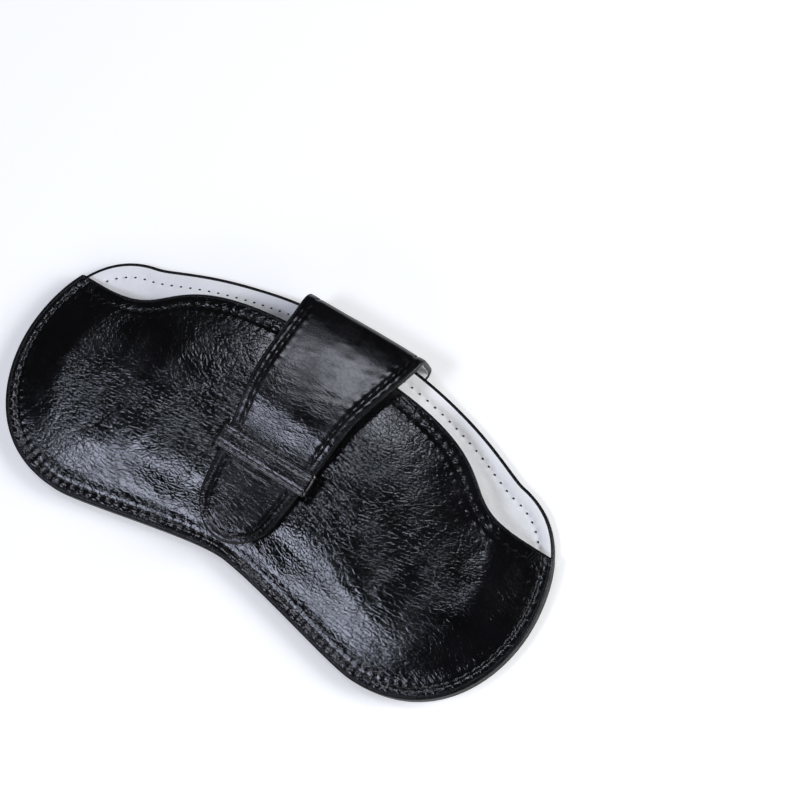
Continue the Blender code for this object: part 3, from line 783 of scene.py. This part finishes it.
def strap_place(rows, aside, height):
    """Points of the strap on rows of its line, aside in mm from its middle, at a height."""
    y = LINE[rows, 0, None] + LINE[rows, 2, None] * height
    z = LINE[rows, 1, None] + LINE[rows, 3, None] * height
    x = LINE[rows, 5, None] + aside
    return np.stack(np.broadcast_arrays(x, y, z), -1)


STRAP_INSET = 3.0


def strap_edge_distance(rows, aside):
    """Distance inwards from the strap's outline, round its tip as well."""
    half = LINE[rows, 4, None]
    beside = half - np.abs(aside)
    tip = LINE[rows, 0, None]
    past = np.where(IS_FRONT[rows, None], (TIP_START - tip), -1)
    reach_y, reach_x = TIP_START - TIP_END, STRAP_HALF + STRAP_TAPER * TIP_START
    radial = np.hypot(past / reach_y, aside / reach_x)
    round_tip = (1 - radial) * min(reach_x, reach_y)
    return np.where(past > 0, np.minimum(round_tip, beside + 99 * (past > 2)), beside)


def crown(rows, aside):
    """Extra height of the strap's leather: seam channels, soft middle, thin edges."""
    distance = strap_edge_distance(rows, aside)
    along = np.broadcast_to(RUN[rows, None], distance.shape)
    seam = seam_relief(distance, along, STRAP_INSET, 0.2)
    free = smooth((distance - STRAP_INSET) / 5)
    grain_v = np.broadcast_to(GRAIN_V[rows, None], distance.shape)
    soft = 0.10 * free * (1 + 0.6 * waves(aside, grain_v, 41, 14, 30))
    worn = 0.025 * waves(aside * 0.6, along * 1.3, 43, 3, 6) * free
    kept_low = np.where((LINE[rows, 0, None] < KEEPER_HIGH + 2) & (LINE[rows, 0, None] > KEEPER_LOW - 2)
                        & IS_FRONT[rows, None], 0.4, 1.0)
    edge = -0.22 * bump(distance, 0.5)
    outside = np.where(IS_TAIL[rows, None], 0.25, 1.0)
    return (seam + soft + worn) * kept_low * outside + edge


def strap_sheet(part, rows, near, far, look, crowned):
    share = np.sin(np.linspace(-math.pi / 2, math.pi / 2, ACROSS))
    half = np.maximum(LINE[rows, 4], 0.05)[:, None]
    aside = half * share[None]
    top = far + (crown(rows, aside) if crowned else 0.0)
    outer, inner = strap_place(rows, aside, top), strap_place(rows, aside, near)
    grain = np.stack(np.broadcast_arrays(aside, GRAIN_V[rows][:, None]), -1)
    return slab(part, outer[:, ::-1], inner[:, ::-1], grain[:, ::-1], look)


# A rounded D over leather and lining: how far out, and how high over the lining's face
STRAP_PAINT = [(-0.75, STRAP_THICK - 0.03), (-0.4, STRAP_THICK + 0.02), (-0.05, STRAP_THICK - 0.05),
               (0.2, STRAP_THICK - 0.3), (0.3, STRAP_THICK - 0.65), (0.27, 0.85), (0.3, 0.55),
               (0.2, 0.18), (-0.05, 0.0), (-0.75, 0.02)]


def strap_bead(rows, side):
    """Edge paint along one side of the strap."""
    path = np.c_[LINE[rows, 5] + side * LINE[rows, 4], RUN[rows]]
    ahead = np.gradient(path, axis=0)
    ahead /= np.maximum(np.hypot(ahead[:, 0], ahead[:, 1]), 1e-9)[:, None]
    outward = np.c_[ahead[:, 1], -ahead[:, 0]] * side
    rings = []
    for n, row in enumerate(rows):
        along = np.array([-LINE[row, 3], LINE[row, 2]]) * -1
        if row > 0:
            step = LINE[row, :2] - LINE[row - 1, :2]
            along = step / max(np.hypot(*step), 1e-9)
        ring = []
        for out, height in STRAP_PAINT:
            x = path[n, 0] + outward[n, 0] * out
            y, z = LINE[row, :2] + LINE[row, 2:4] * height + along * outward[n, 1] * out
            ring.append((x, y, z))
        rings.append(ring if side > 0 else ring[::-1])
    return tube(rings)


def strap_stitch_run(rows, side):
    """Places along one side of the strap's leather, pulled in to its seam channel."""
    aside = side * np.maximum(LINE[rows, 4] - STRAP_INSET, 0)
    height = STRAP_THICK + crown(rows, aside[:, None])[:, 0]
    points = strap_place(rows, aside[:, None], height[:, None])[:, 0]
    return np.c_[points, np.zeros(len(rows)), LINE[rows, 2], LINE[rows, 3]]


def tip_run():
    """The seam round the tip, from the left side to the right."""
    across = STRAP_HALF + STRAP_TAPER * TIP_START - STRAP_INSET
    reach = TIP_START - TIP_END - STRAP_INSET
    made = []
    for a in np.linspace(-math.pi / 2, math.pi / 2, 41):
        y, x = TIP_START - reach * math.cos(a), across * math.sin(a)
        height = STRAP_THICK - 0.1
        made.append((x, y + FRONT_NORMAL[0] * height,
                     STRAP_PLANE_AT + DOME_SLOPE * y + FRONT_NORMAL[1] * height, 0.0, *FRONT_NORMAL))
    return np.array(made)


def blended(piece, part, *nodes):
    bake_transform(piece)
    if nodes:
        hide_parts(*nodes)      # the edge paint stands for no node of its own


def make_strap():
    for part, word in enumerate(PART_WORDS):
        rows = np.arange(CUTS[part], CUTS[part + 1] + 1)
        stems = PART_NODES[part]
        leather = strap_sheet(f"strap_{word}_skin", rows, LINING + 0.12, STRAP_THICK, STRAP,
                              True)
        blended(leather, part, *[f"{stem}_leather" for stem in stems])
        lining = strap_sheet(f"strap_{word}_satin", rows, 0.0, LINING + 0.1, SATIN, False)
        blended(lining, part, *[f"{stem}_lining" for stem in stems])
        beads = [strap_bead(rows, side) for side in (-1, 1)]
        blended(gathered(f"strap_{word}_edges", beads, PAINT), part)
        sewn = [f"{stem}_stitches_{w}" for stem in stems for w in ("left", "right")]
        if word in ("tail", "tongue"):
            sewn = [f"{stems[0]}_stitches"]
        blended(gathered(f"strap_{word}_seams", strap_seams(word, rows), THREAD), part, *sewn)


TAIL_BOX_LOW, TAIL_BOX_HIGH, TAIL_BOX_HALF, TAIL_BOX_AT = -2.0, 30.0, 12.5, 0.26


def strap_seams(word, rows):
    if word == "tail":
        corners = [(-TAIL_BOX_HALF, TAIL_BOX_LOW), (TAIL_BOX_HALF, TAIL_BOX_LOW),
                   (TAIL_BOX_HALF, TAIL_BOX_HIGH), (-TAIL_BOX_HALF, TAIL_BOX_HIGH)]
        made = []
        for k in range(4):
            run = [(*corners[n % 4], TAIL_BOX_AT, 0, 0, -1) for n in (k, k + 1)]
            made += stitches(run, sink=0.02, radius=0.24, slant=4, seed=60 + k)
        upright = rows[LINE[rows, 1] > STRAP_THICK - 0.6]
        upright = upright[~IS_TAIL[upright]]
        for side in (-1, 1):
            made += stitches(strap_stitch_run(upright, side), radius=0.28, seed=70 + side)
        return made
    if word == "tongue":
        straight = rows[LINE[rows, 0] >= TIP_START]
        left, right = (strap_stitch_run(straight, side) for side in (-1, 1))
        run = np.vstack([left, tip_run()[1:-1], right[::-1]])
        return stitches(run, radius=0.26, slant=12, sink=0.08, seed=80)
    made = []
    deep = 0.3 if word == "riser" else 0.04
    for side in (-1, 1):
        made += stitches(strap_stitch_run(rows, side), **BROAD, slant=BROAD_SLANT * side,
                         sink=deep, seed=90 + side)
        made += lining_stitches(rows, side)
    return made


def lining_stitches(rows, side):
    """The same line of stitches as it shows on the strap's lining: short and close to it."""
    aside = side * np.maximum(LINE[rows, 4] - STRAP_INSET, 0)
    points = strap_place(rows, aside[:, None], 0.0)[:, 0]
    run = np.c_[points, np.zeros(len(rows)), -LINE[rows, 2], -LINE[rows, 3]]
    return stitches(run, length=1.1, radius=0.25, slant=10, sink=0.1, seed=100 + side)


# ---------------------------------------------------------------- keeper

KEEPER_SEAM = 1.35
KEEPER_FOOT = -1.0
KEEPER_ROUND = 1.1
KEEPER_INNER = KEEPER_THICK * 0.92
KEEPER_CHANNEL = 0.2


def keeper_profile():
    """Points (x, h, out_x, out_h) over the band's outer face, from its left foot to its right."""
    top = STRAP_THICK + KEEPER_AIR + KEEPER_THICK
    side = KEEPER_HALF + KEEPER_THICK
    half = [(side, h, 1.0, 0.0) for h in np.arange(KEEPER_FOOT, top - KEEPER_ROUND, 0.35)]
    for a in np.linspace(0, math.pi / 2, 9):
        half.append((side - KEEPER_ROUND * (1 - math.cos(a)), top - KEEPER_ROUND * (1 - math.sin(a)),
                     math.cos(a), math.sin(a)))
    half += [(x, top, 0.0, 1.0) for x in np.arange(side - KEEPER_ROUND - 0.5, 0, -0.5)]
    half.append((0.0, top, 0.0, 1.0))
    half = np.array(half)
    return np.vstack([half * (-1, 1, -1, 1), half[-2::-1]])


def keeper_point(x, h, y):
    """h is the height over the strap's lining face; y runs along the strap."""
    return np.stack(np.broadcast_arrays(x, y + FRONT_NORMAL[0] * h,
                                        STRAP_PLANE_AT + DOME_SLOPE * y + FRONT_NORMAL[1] * h), -1)


def make_keeper():
    profile = keeper_profile()
    run = np.concatenate([[0], np.cumsum(np.hypot(*np.diff(profile[:, :2], axis=0).T))])
    turn = np.linspace(-math.pi / 2, math.pi / 2, 25)
    middle, half = (KEEPER_LOW + KEEPER_HIGH) / 2, (KEEPER_HIGH - KEEPER_LOW) / 2
    y = middle + half * np.sin(turn)
    inwards = half - np.abs(y - middle)
    stitch = 0.5 - 0.5 * np.cos(2 * math.pi * run[:, None] / PITCH)
    relief = -KEEPER_CHANNEL * bump(inwards[None] - KEEPER_SEAM, 0.45) * (0.6 + 0.4 * stitch)
    relief = relief + 0.03 * bump(inwards[None] - half, 1.6) - 0.25 * bump(inwards[None], 0.35)
    relief = relief + 0.04 * waves(run[:, None] + 0 * y[None], y[None] + 0 * run[:, None], 51, 4, 10)
    x = profile[:, 0, None] + profile[:, 2, None] * relief
    h = profile[:, 1, None] + profile[:, 3, None] * relief
    outer = keeper_point(x, h, y[None])
    inner = keeper_point(profile[:, 0, None] - profile[:, 2, None] * KEEPER_INNER,
                         profile[:, 1, None] - profile[:, 3, None] * KEEPER_INNER, y[None])
    grain = np.stack(np.broadcast_arrays(run[:, None] - run[-1] / 2, y[None]), -1)
    band = slab("keeper_loop", outer, inner, grain, STRAP)
    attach(band, "case")
    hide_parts("keeper_band")
    for word, at in (("lower", KEEPER_LOW + KEEPER_SEAM), ("upper", KEEPER_HIGH - KEEPER_SEAM)):
        top = profile[profile[:, 3] > 0.5]
        places = keeper_point(top[:, 0], top[:, 1] - 0.1 * top[:, 3], np.full(len(top), at))
        seam = np.c_[places, top[:, 2], top[:, 3] * FRONT_NORMAL[0], top[:, 3] * FRONT_NORMAL[1]]
        shapes = stitches(seam, length=2.2, radius=0.26, slant=6, sink=0.0, seed=52)
        stitch_piece(f"keeper_seam_{word}", shapes, f"keeper_stitches_{word}", look=WAXED)


# ---------------------------------------------------------------- stage, light and camera

CAMERA_AT = (275.2, -44.0, 703.5)
CAMERA_AZIMUTH, CAMERA_ELEVATION, CAMERA_ROLL = 72.17, 69.15, -40.21
LENS, SENSOR = 117, 36
CLIP_NEAR, CLIP_FAR = 0.01, 20


def make_camera():
    data = bpy.data.cameras.new("camera")
    data.lens, data.sensor_width = LENS, SENSOR
    data.clip_start, data.clip_end = CLIP_NEAR, CLIP_FAR
    camera = bpy.data.objects.new("camera", data)
    bpy.context.scene.collection.objects.link(camera)
    azimuth, elevation = math.radians(CAMERA_AZIMUTH), math.radians(CAMERA_ELEVATION)
    back = Vector((math.sin(azimuth) * math.cos(elevation),
                   -math.cos(azimuth) * math.cos(elevation), math.sin(elevation)))
    level = (-back).to_track_quat("-Z", "Y").to_matrix().to_4x4()
    roll = Matrix.Rotation(math.radians(CAMERA_ROLL), 4, "Z")
    camera.matrix_world = Matrix.Translation(place(*CAMERA_AT)) @ level @ roll
    bpy.context.scene.camera = camera


FLOOR_HALF, FLOOR_GREY, FLOOR_GLOW = 3.0, 0.93, 0.26


def make_floor():
    mesh = bpy.data.meshes.new("floor")
    corners = [(x * FLOOR_HALF, y * FLOOR_HALF, 0) for x, y in ((-1, -1), (1, -1), (1, 1), (-1, 1))]
    mesh.from_pydata(corners, [], [(0, 1, 2, 3)])
    made = shader("floor", (FLOOR_GREY,) * 3, 0.6, Emission_Strength=FLOOR_GLOW,
                  Emission_Color=(1.0, 1.0, 1.0, 1.0))[0]
    mesh.materials.append(made)
    floor = bpy.data.objects.new("floor", mesh)
    bpy.context.scene.collection.objects.link(floor)


# name, direction from the case, distance, width, height, brightness, colour
LAMPS = [
    ("key", (-0.37, -0.47, 0.83), 1.2, 0.50, 0.32, 9.5, (0.76, 0.81, 1.0)),
    ("mouth", (-0.31, 0.24, 0.92), 1.2, 0.32, 0.25, 6.5, (0.84, 0.87, 1.0)),
    ("right", (0.93, 0.20, 0.36), 1.3, 1.0, 0.6, 3.4, (1.0, 0.99, 0.98)),
    ("fill", (0.75, 0.50, 0.43), 1.3, 0.7, 0.6, 10.5, (0.96, 0.98, 1.0)),
    ("low", (0.25, -0.94, 0.34), 1.3, 1.0, 0.4, 3.0, (1.0, 0.99, 0.98)),
]
WORLD_COLOUR, WORLD_STRENGTH = (0.9, 0.93, 1.0), 0.04


def make_light():
    for name, direction, distance, width, height, brightness, colour in LAMPS:
        data = bpy.data.lights.new(name, "AREA")
        data.shape = "RECTANGLE"
        data.size, data.size_y = width, height
        data.energy, data.color = brightness * math.pi * width * height, colour
        lamp = bpy.data.objects.new(name, data)
        bpy.context.scene.collection.objects.link(lamp)
        towards = Vector(direction).normalized()
        lamp.location = towards * distance
        lamp.rotation_mode = "QUATERNION"
        lamp.rotation_quaternion = (-towards).to_track_quat("-Z", "Y")
    world = bpy.data.worlds.new("studio")
    world.use_nodes = True
    background = world.node_tree.nodes["Background"]
    background.inputs["Color"].default_value = (*WORLD_COLOUR, 1)
    background.inputs["Strength"].default_value = WORLD_STRENGTH
    bpy.context.scene.world = world
    bpy.context.scene.view_settings.view_transform = "Standard"


make_camera()
make_floor()
make_light()
make_panels()
make_edges()
make_seams()
make_strap()
make_keeper()
